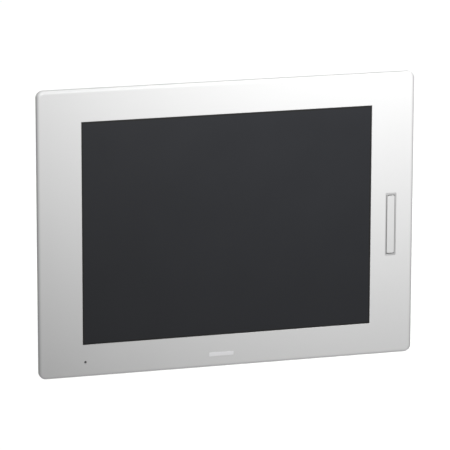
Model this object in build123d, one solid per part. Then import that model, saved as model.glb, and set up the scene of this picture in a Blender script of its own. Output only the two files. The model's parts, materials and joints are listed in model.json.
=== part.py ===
from build123d import *
import os
from math import atan2, cos, sin

# Panel-mount operator terminal with a 15-inch 4:3 touch display.
# X runs to the right seen from the front, Y into the cabinet and Z up. The origin is the centre of
# the panel cut-out, on the plane where the bezel seats against the front of the cabinet panel.

# ---------------------------------------------------------------- driving dimensions, millimetres
# Front bezel
BEZEL_W, BEZEL_H = 397.0, 296.0
BEZEL_T = 5.5
BEZEL_CORNER_R = 7.2
SHOULDER_W, SHOULDER_D = 3.5, 1.7
FRONT = -BEZEL_T
LAND_STEP = 0.5  # the bezel's back inside the housing stands this far in front of its seat
BACK = -LAND_STEP

# Panel cut-out, gasket and housing
CUTOUT_W, CUTOUT_H = 383.5, 282.5
HOUSING_GAP = 1.0
HOUSING_W, HOUSING_H = CUTOUT_W - 2 * HOUSING_GAP, CUTOUT_H - 2 * HOUSING_GAP
HOUSING_DEPTH = 22.0
HOUSING_CORNER_R = 4.0
STEEL = 1.2
GASKET_IN, GASKET_OUT, GASKET_T = 1.0, 4.5, 1.5  # distances outside the cut-out's edge, thickness

# Window, touch sheet and display
WINDOW_W, WINDOW_H = 306.0, 229.5
TOUCH_W, TOUCH_H = 316.4, 240.4
TOUCH_POCKET_W, TOUCH_POCKET_H = 318.0, 242.0
MODULE_POCKET_W, MODULE_POCKET_H = 329.0, 256.0
MODULE_W, MODULE_H = 326.5, 253.5
ACTIVE_W, ACTIVE_H = 304.1, 228.1
FILM_FRONT, FILM_BACK = -5.1, -4.1
LIP_BACK = -4.4
GLASS_BACK = -2.2
MODULE_POCKET_Y = -2.0
MODULE_FRONT, MODULE_BACK = -1.9, 9.0

# Front service door, at the right of the window
DOOR_X, DOOR_Z = 174.65, -11.15
DOOR_W, DOOR_H, DOOR_T = 7.9, 60.5, 2.6
TROUGH_X, TROUGH_Z = 174.5, -10.8
TROUGH_W, TROUGH_H, TROUGH_D = 11.6, 65.8, 1.0
POCKET_GAP, POCKET_FOOT, POCKET_D = 0.25, 1.1, 3.4
DOOR_PIN_R, DOOR_BORE_R = 0.45, 0.5
DOOR_PIN_Z = DOOR_Z - DOOR_H / 2 + 1.2
DOOR_PIN_Y = FRONT + 1.75
POCKET_FLOOR = FRONT + POCKET_D

# Sockets behind the door
USB_A = (5.7, 13.1)
USB_MINI = (3.9, 7.7)
USB_A_Z, USB_MINI_Z = 6.0, -22.0
USB_DEPTH = 12.0
USB_WALL = 0.3
USB_BOARD_Y = POCKET_FLOOR + USB_DEPTH

# Status lamp and badge
LAMP_X, LAMP_Z = -150.5, -132.8
LAMP_R = 1.35
BADGE_X, BADGE_Z = -7.0, -134.8
BADGE_W, BADGE_H, BADGE_T = 26.0, 4.0, 0.8

# Fastening pillars on the back of the bezel
PILLAR_R = 3.5
PILLARS = [(x, z) for x in (-176.0, 176.0) for z in (-118.0, 118.0)]
PILLARS += [(x, z) for x in (-45.0, 45.0) for z in (-132.75, 132.75)]
PILLARS += [(x, z) for x in (-174.0, 174.0) for z in (-62.0, 62.0)]
USB_BOSSES = [(172.2, 24.6), (172.2, -46.6)]
BRACKET_EARS = [(x, z) for x in (-168.5, 168.5) for z in (-95.0, 95.0)]
EAR_T = 1.2
M3_R, M3_HEAD_R = 1.5, 2.75
M3_SHANK_R = M3_R - 0.02
SHORT_SCREW = 3.6

# Rear cover
COVER_W, COVER_H = 328.0, 236.0
COVER_DEPTH = 33.0
COVER_T = 1.5
COVER_BACK = HOUSING_DEPTH + COVER_DEPTH
FLANGE = 6.5
COVER_CORNER_R = 5.0

# Boards
BOARD_T = 1.6
DISPLAY_BOARD_Y = 13.0
MAIN_BOARD_Y = 31.0
MAIN_BOARD_W, MAIN_BOARD_Z0, MAIN_BOARD_Z1 = 300.0, -108.0, 72.0
SPACER_HOLES = [(x, z) for x in (-143.0, 0.0, 143.0) for z in (-101.0, 65.0)]

# Swing-out panel clamps: (x, z, outward direction, folded direction)
CLAMP_INSET = 7.5
CLAMP_X, CLAMP_Z = HOUSING_W / 2 - CLAMP_INSET, HOUSING_H / 2 - CLAMP_INSET
CLAMP_SPREAD = 100.0
CLAMPS = [
    ("top_left", -CLAMP_SPREAD, CLAMP_Z, (0, 1), (-1, 0)),
    ("top_right", CLAMP_SPREAD, CLAMP_Z, (0, 1), (1, 0)),
    ("bottom_left", -CLAMP_SPREAD, -CLAMP_Z, (0, -1), (-1, 0)),
    ("bottom_right", CLAMP_SPREAD, -CLAMP_Z, (0, -1), (1, 0)),
    ("left", -CLAMP_X, 0.0, (-1, 0), (0, 1)),
    ("right", CLAMP_X, 0.0, (1, 0), (0, 1)),
]
CLAMP_TRAVEL = 7.0
LEVER_T, LEVER_LENGTH, LEVER_HALF, HUB_R = 4.0, 17.0, 3.6, 4.4
LEVER_Y = 8.5
CLAMP_R, CLAMP_CLEARANCE = 2.0, 0.05
COLLAR_R, COLLAR_T = 3.4, 0.8
WELD_NUT_R, WELD_NUT_T = 4.0, 5.0

# Sockets along the lower edge of the rear cover
PORT_BASE_Y = MAIN_BOARD_Y
POWER_X, NETWORK_X, SERIAL_X, REAR_USB_X = -72.0, (-44.0, -22.0), 14.0, (48.0, 64.0)
EARTH_X, EARTH_Y = -134.0, 40.0
EARTH_R, EARTH_HEX_T, EARTH_LENGTH = 2.0, 3.0, 10.0

# Memory card door, in the right-hand wall of the rear cover
CARD_Z, CARD_Y = -50.0, 38.5
CARD_DOOR_L, CARD_DOOR_H, CARD_GAP = 40.0, 15.0, 0.4
CARD_PIN_R, CARD_BORE_R = 0.6, 0.65
CARD_HINGE_GAP = 0.5  # more room on the hinge side, where the corner swings


# ---------------------------------------------------------------- drawing helpers
def slab(outline, front, back):
    """An outline drawn in X and Z, as solid from the plane y=front to the plane y=back."""
    return extrude(Plane.XZ.offset(-back) * outline, amount=back - front)


def plate(width, height, front, back, x=0.0, z=0.0, radius=0.0):
    """A plate parallel to the screen."""
    shape = RectangleRounded(width, height, radius) if radius else Rectangle(width, height)
    return slab(Pos(x, z) * shape, front, back)


def rod(x, z, radius, front, back):
    """A cylinder along Y."""
    return slab(Pos(x, z) * Circle(radius), front, back)


def ring(width, height, inner_w, inner_h, front, back, radius=0.0, inner_radius=0.0):
    """A rectangular frame around the centre."""
    hole = plate(inner_w, inner_h, front - 1, back + 1, radius=inner_radius)
    return plate(width, height, front, back, radius=radius) - hole


def block(x0, x1, y0, y1, z0, z1):
    """A box between two corners."""
    return Pos((x0 + x1) / 2, (y0 + y1) / 2, (z0 + z1) / 2) * Box(x1 - x0, y1 - y0, z1 - z0)


def rod_z(x, y, radius, z0, z1):
    """A cylinder along Z."""
    return Pos(x, y, (z0 + z1) / 2) * Cylinder(radius, z1 - z0)


def rod_x(y, z, radius, x0, x1):
    """A cylinder along X."""
    return Pos((x0 + x1) / 2, y, z) * Rot(0, 90, 0) * Cylinder(radius, x1 - x0)


def group(solids):
    """Separate solids kept together in one node."""
    return Compound(children=[s for part in solids for s in part.solids()])


NODES = {}


# ---------------------------------------------------------------- front bezel
def shoulder_cutter():
    """The stock outside the soft rounded shoulder that runs round the front edge."""
    sweep_angle = 2 * atan2(SHOULDER_D, SHOULDER_W)
    radius = SHOULDER_W / sin(sweep_angle)
    flat_w, flat_h = BEZEL_W - 2 * SHOULDER_W, BEZEL_H - 2 * SHOULDER_W
    inner_r = BEZEL_CORNER_R - SHOULDER_W
    start = Vector(flat_w / 2, FRONT, 0)
    end = Vector(BEZEL_W / 2, FRONT + SHOULDER_D, 0)
    middle = start + Vector(
        radius * sin(sweep_angle / 2), radius * (1 - cos(sweep_angle / 2)), 0
    )
    over = 1.0
    outside = [end, end + Vector(over, 0, 0), Vector(end.X + over, FRONT - over, 0)]
    outside += [Vector(start.X, FRONT - over, 0), start]
    profile = make_face([ThreePointArc(start, middle, end), Polyline(*outside)])
    path = Plane.XZ.offset(-FRONT) * RectangleRounded(flat_w, flat_h, inner_r)
    wire = path.wire()
    return sweep(profile, path=wire)


def front_bezel():
    body = plate(BEZEL_W, BEZEL_H, FRONT, 0, radius=BEZEL_CORNER_R)
    body -= shoulder_cutter()
    # window, touch pocket, display pocket and the step that locates the housing
    body -= plate(WINDOW_W, WINDOW_H, FRONT - 1, 1)
    body -= plate(TOUCH_POCKET_W, TOUCH_POCKET_H, LIP_BACK, 1)
    body -= plate(MODULE_POCKET_W, MODULE_POCKET_H, MODULE_POCKET_Y, 1)
    step = 0.2
    body -= plate(HOUSING_W + 2 * step, HOUSING_H + 2 * step, BACK, 1, radius=HOUSING_CORNER_R)
    body -= gasket_ring()
    # shallow trough round the service door, the door's pocket, its socket openings and pin holes
    body -= plate(TROUGH_W, TROUGH_H, FRONT - 1, FRONT + TROUGH_D, TROUGH_X, TROUGH_Z, radius=0.8)
    pocket_h = DOOR_H + POCKET_GAP + POCKET_FOOT
    pocket_z = DOOR_Z + (POCKET_GAP - POCKET_FOOT) / 2
    body -= plate(
        DOOR_W + 2 * POCKET_GAP, pocket_h, FRONT - 1, POCKET_FLOOR, DOOR_X, pocket_z, radius=1.2
    )
    for (width, height), z in ((USB_A, USB_A_Z), (USB_MINI, USB_MINI_Z)):
        body -= plate(width + 0.4, height + 0.4, POCKET_FLOOR - 1, 1, DOOR_X, z)
    body -= rod_x(DOOR_PIN_Y, DOOR_PIN_Z, DOOR_PIN_R, *pin_ends())
    # lamp hole and badge seat
    body -= rod(LAMP_X, LAMP_Z, LAMP_R, FRONT - 1, 1)
    body -= rod(LAMP_X, LAMP_Z, LAMP_R + 1, FRONT + 2.5, 1)
    body -= plate(BADGE_W, BADGE_H, FRONT - 1, FRONT + BADGE_T / 2, BADGE_X, BADGE_Z, radius=0.6)
    # pillars and bosses for the housing, the socket board and the display brackets
    for x, z in PILLARS:
        body += rod(x, z, PILLAR_R, BACK - 1, HOUSING_DEPTH - STEEL)
        body -= rod(x, z, M3_R, HOUSING_DEPTH - STEEL - 10, HOUSING_DEPTH)
    for x, z in USB_BOSSES:
        body += rod(x, z, 2.8, BACK - 1, USB_BOARD_Y)
        body -= rod(x, z, M3_R, USB_BOARD_Y - 6, USB_BOARD_Y + 1)
    for x, z in BRACKET_EARS:
        body -= rod(x, z, M3_R, BACK - 3, 1)
    return body


def gasket_ring():
    return ring(
        CUTOUT_W + 2 * GASKET_OUT,
        CUTOUT_H + 2 * GASKET_OUT,
        CUTOUT_W + 2 * GASKET_IN,
        CUTOUT_H + 2 * GASKET_IN,
        -GASKET_T,
        0,
        radius=5.0,
        inner_radius=2.0,
    )


def pin_ends():
    half = DOOR_W / 2 + POCKET_GAP + 1.5
    return DOOR_X - half, DOOR_X + half


NODES["front_bezel"] = front_bezel()
NODES["panel_gasket"] = gasket_ring()
NODES["blank_badge"] = plate(
    BADGE_W, BADGE_H, FRONT - BADGE_T / 2 + 0.2, FRONT + BADGE_T / 2, BADGE_X, BADGE_Z, radius=0.6
)

# ---------------------------------------------------------------- touch sheet and its seal
NODES["touch_film"] = plate(WINDOW_W - 0.3, WINDOW_H - 0.3, FILM_FRONT, FILM_BACK)
NODES["touch_glass"] = plate(TOUCH_W, TOUCH_H, FILM_BACK, GLASS_BACK, radius=1.0)
NODES["window_seal"] = ring(
    TOUCH_W, TOUCH_H, WINDOW_W + 0.6, WINDOW_H + 0.6, LIP_BACK, FILM_BACK, radius=1.0
)


# ---------------------------------------------------------------- status lamp
def status_lens():
    """A clear stepped light pipe behind the lamp hole."""
    clear = 0.05
    tip = rod(LAMP_X, LAMP_Z, LAMP_R - clear, FRONT + 0.1, FRONT + 2.6)
    return tip + rod(LAMP_X, LAMP_Z, LAMP_R + 0.9, FRONT + 2.6, BACK + 1.2)


NODES["status_lens"] = status_lens()
NODES["status_led"] = plate(3.2, 1.6, BACK + 1.4, BACK + 2.5, LAMP_X, LAMP_Z)
NODES["status_board"] = plate(14.0, 7.0, BACK + 2.5, BACK + 3.5, LAMP_X, LAMP_Z)


# ---------------------------------------------------------------- front service door
def usb_door():
    door = plate(DOOR_W, DOOR_H, FRONT, FRONT + DOOR_T, DOOR_X, DOOR_Z, radius=1.1)
    front_edges = door.edges().filter_by_position(Axis.Y, FRONT - 0.01, FRONT + 0.01)
    door = chamfer(front_edges, length=0.3)
    # a shallow finger hollow behind the free end
    tip_z = DOOR_Z + DOOR_H / 2
    door -= block(DOOR_X - 2.2, DOOR_X + 2.2, FRONT + 1.6, FRONT + 4, tip_z - 2.5, tip_z + 1)
    return door - rod_x(DOOR_PIN_Y, DOOR_PIN_Z, DOOR_BORE_R, DOOR_X - 6, DOOR_X + 6)


def usb_door_seal():
    seal_z0, seal_z1 = DOOR_PIN_Z + 3.0, DOOR_Z + DOOR_H / 2 - 0.6
    middle, height = (seal_z0 + seal_z1) / 2, seal_z1 - seal_z0
    seal = plate(7.3, height, POCKET_FLOOR - 0.6, POCKET_FLOOR, DOOR_X, middle, radius=1.0)
    for (width, length), z in ((USB_A, USB_A_Z), (USB_MINI, USB_MINI_Z)):
        seal -= plate(width + 0.3, length + 0.3, POCKET_FLOOR - 1, POCKET_FLOOR + 1, DOOR_X, z)
    return seal


NODES["usb_door"] = usb_door()
NODES["usb_door_pin"] = rod_x(DOOR_PIN_Y, DOOR_PIN_Z, DOOR_PIN_R, *pin_ends())
NODES["usb_door_seal"] = usb_door_seal()


# ---------------------------------------------------------------- serial bus sockets, front and rear
def socket_shell(size, depth):
    """A folded metal shell along +Y, mouth at y=0, centred on X and Z."""
    width, height = size
    shell = plate(width, height, 0, depth)
    return shell - plate(width - 2 * USB_WALL, height - 2 * USB_WALL, -1, depth - 1.0)


def socket_tongue(size, depth, thick):
    """The contact tongue on its root block inside a shell."""
    width, height = size
    root = plate(width - 2 * USB_WALL - 0.1, height - 2 * USB_WALL - 0.1, depth - 3.0, depth - 1.0)
    return root + plate(thick, height - 2.0, 2.0, depth - 3.0)


def downward(part, x, y, z_mouth):
    """Turn a socket so that its mouth faces down, at the given place, broad side along X."""
    return Pos(x, y, z_mouth) * Rot(90, 0, 0) * Rot(0, 90, 0) * part


FRONT_A = Pos(DOOR_X, POCKET_FLOOR, USB_A_Z)
FRONT_MINI = Pos(DOOR_X, POCKET_FLOOR, USB_MINI_Z)
COVER_INNER_Z = -(COVER_H / 2 - COVER_T)
REAR_USB_Y = PORT_BASE_Y + BOARD_T + USB_A[0] / 2
NODES["usb_shells"] = group(
    [FRONT_A * socket_shell(USB_A, USB_DEPTH), FRONT_MINI * socket_shell(USB_MINI, USB_DEPTH)]
    + [
        downward(socket_shell(USB_A, 15.0), x, REAR_USB_Y, COVER_INNER_Z + 0.2)
        for x in REAR_USB_X
    ]
)
NODES["usb_tongues"] = group(
    [
        FRONT_A * socket_tongue(USB_A, USB_DEPTH, 1.84),
        FRONT_MINI * socket_tongue(USB_MINI, USB_DEPTH, 0.9),
    ]
    + [
        downward(socket_tongue(USB_A, 15.0, 1.84), x, REAR_USB_Y, COVER_INNER_Z + 0.2)
        for x in REAR_USB_X
    ]
)


def front_usb_board():
    board = plate(12.2, 78.0, USB_BOARD_Y, USB_BOARD_Y + BOARD_T, 172.2, -11.0)
    for x, z in USB_BOSSES:
        board -= rod(x, z, M3_R + 0.1, USB_BOARD_Y - 1, USB_BOARD_Y + 3)
    return board


NODES["front_usb_board"] = front_usb_board()


# ---------------------------------------------------------------- display module
def lcd_rim():
    """The pressed steel front rim with its side walls."""
    sheet = 0.6
    rim = plate(MODULE_W, MODULE_H, MODULE_FRONT, MODULE_BACK, radius=0.8)
    rim -= plate(MODULE_W - 2 * sheet, MODULE_H - 2 * sheet, MODULE_FRONT + sheet, MODULE_BACK + 1)
    return rim - plate(ACTIVE_W + 2.0, ACTIVE_H + 2.0, MODULE_FRONT - 1, MODULE_FRONT + 2)


def lcd_tray():
    """The steel tray that closes the module's back, walls forward."""
    sheet, top = 0.8, 7.0
    width, height = MODULE_W - 1.5, MODULE_H - 1.5
    tray = plate(width, height, 0.4, top + sheet)
    return tray - plate(width - 2 * sheet, height - 2 * sheet, 0, top)


CELL_FRONT = MODULE_FRONT + 0.6
CELL_W, CELL_H = 309.5, 235.0
BAR_Z = -CELL_H / 2
LED_COUNT = 36
NODES["lcd_rim"] = lcd_rim()
NODES["lcd_cell"] = plate(CELL_W, CELL_H, CELL_FRONT, 0.1)
NODES["light_guide"] = plate(308.0, 231.0, 0.7, 6.7, z=0.6)
NODES["optical_sheets"] = group(
    [plate(308.0, 233.0, 0.1, 0.7), plate(308.0, 231.0, 6.7, 6.9, z=0.6)]
)
NODES["backlight_bar"] = block(-152, 152, 0.7, 6.7, BAR_Z - 1.8, BAR_Z - 0.2)
NODES["backlight_leds"] = group(
    [
        block(x - 1.8, x + 1.8, 1.9, 5.5, BAR_Z - 0.2, BAR_Z + 1.6)
        for x in [(i - (LED_COUNT - 1) / 2) * 8.4 for i in range(LED_COUNT)]
    ]
)


def lcd_mould_frame():
    frame = plate(322.6, 249.6, 0.6, 6.9)
    frame -= plate(310.0, 237.6, 0, 8)
    return frame - block(-153, 153, 0, 8, BAR_Z - 2.4, 0)


def lcd_brackets():
    """Steel angles that hold the module's two sides to the bezel."""
    parts = []
    for side in (-1, 1):
        inner = side * (MODULE_W / 2 + 0.1)
        outer = side * (MODULE_W / 2 + 1.1)
        strip = block(min(inner, outer), max(inner, outer), 0.6, 8.4, -110, 110)
        for x, z in BRACKET_EARS:
            if x * side > 0:
                ear_end = side * 173.5
                x0, x1 = sorted((inner, ear_end))
                strip += block(x0, x1, BACK, BACK + EAR_T, z - 6, z + 6)
                x2, x3 = sorted((inner, outer))
                strip += block(x2, x3, BACK, 1, z - 6, z + 6)
                strip -= rod(x, z, M3_R + 0.1, BACK - 1, 2)
        parts.append(strip)
    return group(parts)


def pan_screw(x, z, seat, length, head_r=M3_HEAD_R, shank_r=M3_SHANK_R, head_h=2.0):
    """A pan-head screw along Y with its head behind the plane y=seat."""
    head = rod(x, z, head_r, seat, seat + head_h)
    rim = head.edges().filter_by_position(Axis.Y, seat + head_h - 0.01, seat + head_h + 0.01)
    head = fillet(rim, 0.6)
    screw = head + rod(x, z, shank_r, seat - length, seat)
    slot = 0.35 * head_r
    for width, height in ((slot, head_r * 1.2), (head_r * 1.2, slot)):
        screw -= plate(width, height, seat + head_h - 1.0, seat + head_h + 1, x, z)
    return screw


NODES["lcd_mould_frame"] = lcd_mould_frame()
NODES["lcd_tray"] = lcd_tray()
NODES["lcd_brackets"] = lcd_brackets()


def display_board():
    board = plate(150.0, 62.0, DISPLAY_BOARD_Y, DISPLAY_BOARD_Y + BOARD_T, 0, -78)
    for x, z, w, h, t in ((-48, -76, 16, 16, 1.4), (8, -72, 20, 20, 1.6), (52, -84, 12, 9, 2.4)):
        board += plate(w, h, DISPLAY_BOARD_Y + BOARD_T, DISPLAY_BOARD_Y + BOARD_T + t, x, z)
    return board


def display_ribbon():
    """A flat ribbon from the module's lower back edge to the display board."""
    width, thick = 40.0, 0.3
    down = block(-width / 2, width / 2, 7.8, 7.8 + thick, -124, -104)
    back = block(-width / 2, width / 2, 7.8, DISPLAY_BOARD_Y, -104, -104 + thick)
    return down + back


NODES["display_board"] = display_board()
NODES["display_ribbon"] = display_ribbon()


# ---------------------------------------------------------------- housing and clamps
def clamp_point(x, z, outward, folded, out, along):
    """A point given by its distances outward and along the wall from a clamp's axis."""
    return x + out * outward[0] + along * folded[0], z + out * outward[1] + along * folded[1]


def clamp_block(clamp, out, along, front, back):
    """A box given by (low, high) distances outward and along the wall from a clamp's axis."""
    _, x, z, outward, folded = clamp
    a = clamp_point(x, z, outward, folded, out[0], along[0])
    b = clamp_point(x, z, outward, folded, out[1], along[1])
    (x0, x1), (z0, z1) = sorted((a[0], b[0])), sorted((a[1], b[1]))
    return block(x0, x1, front, back, z0, z1)


def rear_chassis():
    """The steel tray that passes through the cut-out: walls, back plate and weld nuts."""
    tray = plate(HOUSING_W, HOUSING_H, BACK, HOUSING_DEPTH, radius=HOUSING_CORNER_R)
    tray -= plate(
        HOUSING_W - 2 * STEEL,
        HOUSING_H - 2 * STEEL,
        BACK - 1,
        HOUSING_DEPTH - STEEL,
        radius=HOUSING_CORNER_R - STEEL,
    )
    tray -= plate(190.0, 30.0, HOUSING_DEPTH - 3, HOUSING_DEPTH + 1, 0, 90, radius=3)
    tray -= plate(60.0, 24.0, HOUSING_DEPTH - 3, HOUSING_DEPTH + 1, 0, -60, radius=3)
    for clamp in CLAMPS:
        _, x, z, _, _ = clamp
        tray -= clamp_block(clamp, (CLAMP_INSET - 2, CLAMP_INSET + 1), (-4.6, 17.2), 1.0, 13.2)
        tray += rod(x, z, WELD_NUT_R, HOUSING_DEPTH - STEEL - WELD_NUT_T, HOUSING_DEPTH - 0.2)
        tray -= rod(x, z, CLAMP_R + CLAMP_CLEARANCE, 10, HOUSING_DEPTH + 1)
    for x, z in PILLARS:
        tray -= rod(x, z, M3_R + 0.1, HOUSING_DEPTH - 3, HOUSING_DEPTH + 1)
    for x, z in cover_screw_places():
        tray -= rod(x, z, M3_R, HOUSING_DEPTH - 3, HOUSING_DEPTH + 1)
    return tray


def cover_screw_places():
    x_line, z_line = COVER_W / 2 + FLANGE / 2, COVER_H / 2 + FLANGE / 2
    sides = [(x, z) for x in (-x_line, x_line) for z in (-95.0, 0.0, 95.0)]
    ends = [(x, z) for x in (-120.0, 0.0, 120.0) for z in (-z_line, z_line)]
    return sides + ends


def clamp_screw(clamp):
    """A jack screw with two collars for the lever, slotted head at the back."""
    _, x, z, _, _ = clamp
    lever_back = LEVER_Y + LEVER_T
    head_y = HOUSING_DEPTH + CLAMP_TRAVEL + 0.2
    screw = rod(x, z, CLAMP_R, LEVER_Y - COLLAR_T - 0.1, head_y + 1)
    screw += rod(x, z, COLLAR_R, LEVER_Y - COLLAR_T - 0.1, LEVER_Y - 0.1)
    screw += rod(x, z, COLLAR_R, lever_back + 0.1, lever_back + 0.1 + COLLAR_T)
    screw += rod(x, z, 3.5, head_y, head_y + 2.8)
    screw -= plate(1.1, 8.0, head_y + 1.4, head_y + 4, x, z)
    return screw


def clamp_lever(clamp):
    """The lever that lies along the wall when folded and swings out behind the panel."""
    _, x, z, outward, folded = clamp
    lever = clamp_block(clamp, (-LEVER_HALF, LEVER_HALF), (0, LEVER_LENGTH - 2), LEVER_Y, LEVER_Y + LEVER_T)
    tip = LEVER_LENGTH - 2.5
    lever += clamp_block(clamp, (-LEVER_HALF + 1, LEVER_HALF - 1), (tip, LEVER_LENGTH), LEVER_Y, LEVER_Y + LEVER_T)
    lever += rod(x, z, HUB_R, LEVER_Y, LEVER_Y + LEVER_T)
    return lever - rod(x, z, CLAMP_R + CLAMP_CLEARANCE, LEVER_Y - 1, LEVER_Y + LEVER_T + 1)


NODES["rear_chassis"] = rear_chassis()
NODES["chassis_screws"] = group(
    [pan_screw(x, z, HOUSING_DEPTH, 8.0) for x, z in PILLARS]
)
for clamp in CLAMPS:
    NODES[f"clamp_screw_{clamp[0]}"] = clamp_screw(clamp)
    NODES[f"clamp_lever_{clamp[0]}"] = clamp_lever(clamp)


# ---------------------------------------------------------------- rear cover
def vent_row(width, y0, y1, z0, z1, count, pitch, x_middle=0.0):
    """A row of upright slots through a wall whose faces lie at z0 and z1."""
    first = x_middle - (count - 1) / 2 * pitch
    return [
        block(first + i * pitch - width / 2, first + i * pitch + width / 2, y0, y1, z0, z1)
        for i in range(count)
    ]


def rear_cover():
    half_w, half_h = COVER_W / 2, COVER_H / 2
    cover = plate(COVER_W, COVER_H, HOUSING_DEPTH, COVER_BACK, radius=COVER_CORNER_R)
    rim = cover.edges().filter_by_position(Axis.Y, COVER_BACK - 0.01, COVER_BACK + 0.01)
    cover = fillet(rim, 2.5)
    cover += plate(
        COVER_W + 2 * FLANGE,
        COVER_H + 2 * FLANGE,
        HOUSING_DEPTH,
        HOUSING_DEPTH + COVER_T,
        radius=COVER_CORNER_R,
    )
    cover -= plate(
        COVER_W - 2 * COVER_T,
        COVER_H - 2 * COVER_T,
        HOUSING_DEPTH - 1,
        COVER_BACK - COVER_T,
        radius=COVER_CORNER_R - COVER_T,
    )
    for x, z in cover_screw_places():
        cover -= rod(x, z, M3_R + 0.2, HOUSING_DEPTH - 1, HOUSING_DEPTH + 4)
    # vents in the top wall and beside the sockets
    for y0 in (28.0, 40.0):
        for slot in vent_row(3.0, y0, y0 + 9, half_h - 3, half_h + 1, 22, 12.0):
            cover -= slot
    for slot in vent_row(3.0, 34.0, 48.0, -half_h - 1, -half_h + 3, 6, 9.0, 105.0):
        cover -= slot
    # socket openings in the lower wall
    low, high = -half_h - 1, -half_h + 3
    y = PORT_BASE_Y + BOARD_T
    cover -= block(POWER_X - 10.4, POWER_X + 10.4, y - 0.2, y + 11.2, low, high)
    for x in NETWORK_X:
        cover -= block(x - 8.2, x + 8.2, y - 0.2, y + 13.9, low, high)
    cover -= block(SERIAL_X - 9.8, SERIAL_X + 9.8, y + 1.0, y + 11.6, low, high)
    for side in (-1, 1):
        cover -= rod_z(SERIAL_X + side * 12.5, y + 6.3, 1.6, low, high)
    for x in REAR_USB_X:
        cover -= block(x - 6.8, x + 6.8, y - 0.2, y + 5.9, low, high)
    cover -= rod_z(EARTH_X, EARTH_Y, EARTH_R + 0.1, low, high)
    # card opening with the pin holes of its door
    card_half_l, card_half_h = CARD_DOOR_L / 2 + CARD_GAP, CARD_DOOR_H / 2 + CARD_GAP
    cover -= block(
        half_w - 3, half_w + 1, CARD_Y - card_half_h - CARD_HINGE_GAP, CARD_Y + card_half_h,
        CARD_Z - card_half_l, CARD_Z + card_half_l,
    )
    x, y = card_pin_axis()
    for side in (-1, 1):
        lug_inner = CARD_Z + side * card_half_l
        lug_outer = CARD_Z + side * (card_half_l + 3)
        z0, z1 = sorted((lug_inner, lug_outer))
        cover += block(half_w - 3.2, half_w - COVER_T / 2, y - 2, y + 2, z0, z1)
    pin_half = card_half_l + 2.5
    return cover - rod_z(x, y, CARD_PIN_R, CARD_Z - pin_half, CARD_Z + pin_half)


def card_pin_axis():
    return COVER_W / 2 - 1.5, CARD_Y - CARD_DOOR_H / 2 + 1.6


def card_door():
    """The flap over the memory card slot, hinged along its front edge."""
    outer = COVER_W / 2
    y0, y1 = CARD_Y - CARD_DOOR_H / 2, CARD_Y + CARD_DOOR_H / 2
    z0, z1 = CARD_Z - CARD_DOOR_L / 2, CARD_Z + CARD_DOOR_L / 2
    door = block(outer - COVER_T, outer, y0, y1, z0, z1)
    x, y = card_pin_axis()
    door += rod_z(x, y, 1.4, z0, z1)
    # finger groove near the free edge
    door -= block(outer - 0.5, outer + 1, y1 - 3.5, y1 - 2.0, CARD_Z - 8, CARD_Z + 8)
    return door - rod_z(x, y, CARD_BORE_R, z0 - 1, z1 + 1)


NODES["rear_cover"] = rear_cover()
NODES["cover_screws"] = group(
    [pan_screw(x, z, HOUSING_DEPTH + COVER_T, 5.0) for x, z in cover_screw_places()]
)
NODES["card_door"] = card_door()
PIN_X, PIN_Y = card_pin_axis()
PIN_HALF = CARD_DOOR_L / 2 + CARD_GAP + 2.5
NODES["card_door_pin"] = rod_z(PIN_X, PIN_Y, CARD_PIN_R, CARD_Z - PIN_HALF, CARD_Z + PIN_HALF)
NODES["rating_plate"] = plate(
    110.0, 62.0, COVER_BACK, COVER_BACK + 0.3, -70.0, -40.0, radius=3.0
)


# ---------------------------------------------------------------- electronics
def main_board():
    middle = (MAIN_BOARD_Z0 + MAIN_BOARD_Z1) / 2
    board = plate(
        MAIN_BOARD_W, MAIN_BOARD_Z1 - MAIN_BOARD_Z0, MAIN_BOARD_Y, MAIN_BOARD_Y + BOARD_T, z=middle
    )
    for x, z in SPACER_HOLES:
        board -= rod(x, z, M3_R + 0.1, MAIN_BOARD_Y - 1, MAIN_BOARD_Y + 3)
    top = MAIN_BOARD_Y + BOARD_T
    chips = [(60, 10, 14, 14, 1.4), (84, 10, 14, 14, 1.4), (-90, -20, 18, 18, 1.8)]
    chips += [(-60, -62, 12, 12, 1.6), (95, -40, 10, 16, 2.6), (-110, -60, 16, 10, 6.0)]
    for x, z, width, height, thick in chips:
        board += plate(width, height, top, top + thick, x, z)
    return board


def board_spacer(x, z):
    spacer = rod(x, z, 3.2, HOUSING_DEPTH, MAIN_BOARD_Y)
    return spacer - rod(x, z, M3_R, MAIN_BOARD_Y - 6, MAIN_BOARD_Y + 1)


def heat_sink():
    """A finned block on the processor, fins upright for rising air."""
    base_y = MAIN_BOARD_Y + BOARD_T + 2.4
    sink = plate(84.0, 84.0, base_y, base_y + 3.5, 0, 14)
    fins = 12
    for i in range(fins):
        x = (i - (fins - 1) / 2) * 7.4
        sink += block(x - 0.7, x + 0.7, base_y + 3, base_y + 15.5, -28, 56)
    return sink


NODES["main_board"] = main_board()
NODES["board_spacers"] = group([board_spacer(x, z) for x, z in SPACER_HOLES])
NODES["machine_screws"] = group(
    [pan_screw(x, z, BACK + EAR_T, SHORT_SCREW) for x, z in BRACKET_EARS]
    + [pan_screw(x, z, MAIN_BOARD_Y + BOARD_T, SHORT_SCREW) for x, z in SPACER_HOLES]
    + [pan_screw(x, z, USB_BOARD_Y + BOARD_T, SHORT_SCREW) for x, z in USB_BOSSES]
)
NODES["processor"] = plate(32.0, 32.0, MAIN_BOARD_Y + BOARD_T, MAIN_BOARD_Y + BOARD_T + 2.4, 0, 14)
NODES["heat_sink"] = heat_sink()
BATTERY_X, BATTERY_Z = 118.0, 45.0
BOARD_TOP = MAIN_BOARD_Y + BOARD_T
NODES["battery_holder"] = rod(BATTERY_X, BATTERY_Z, 12.0, BOARD_TOP, BOARD_TOP + 5.5) - rod(
    BATTERY_X, BATTERY_Z, 10.15, BOARD_TOP + 1.6, BOARD_TOP + 7
)
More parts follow.
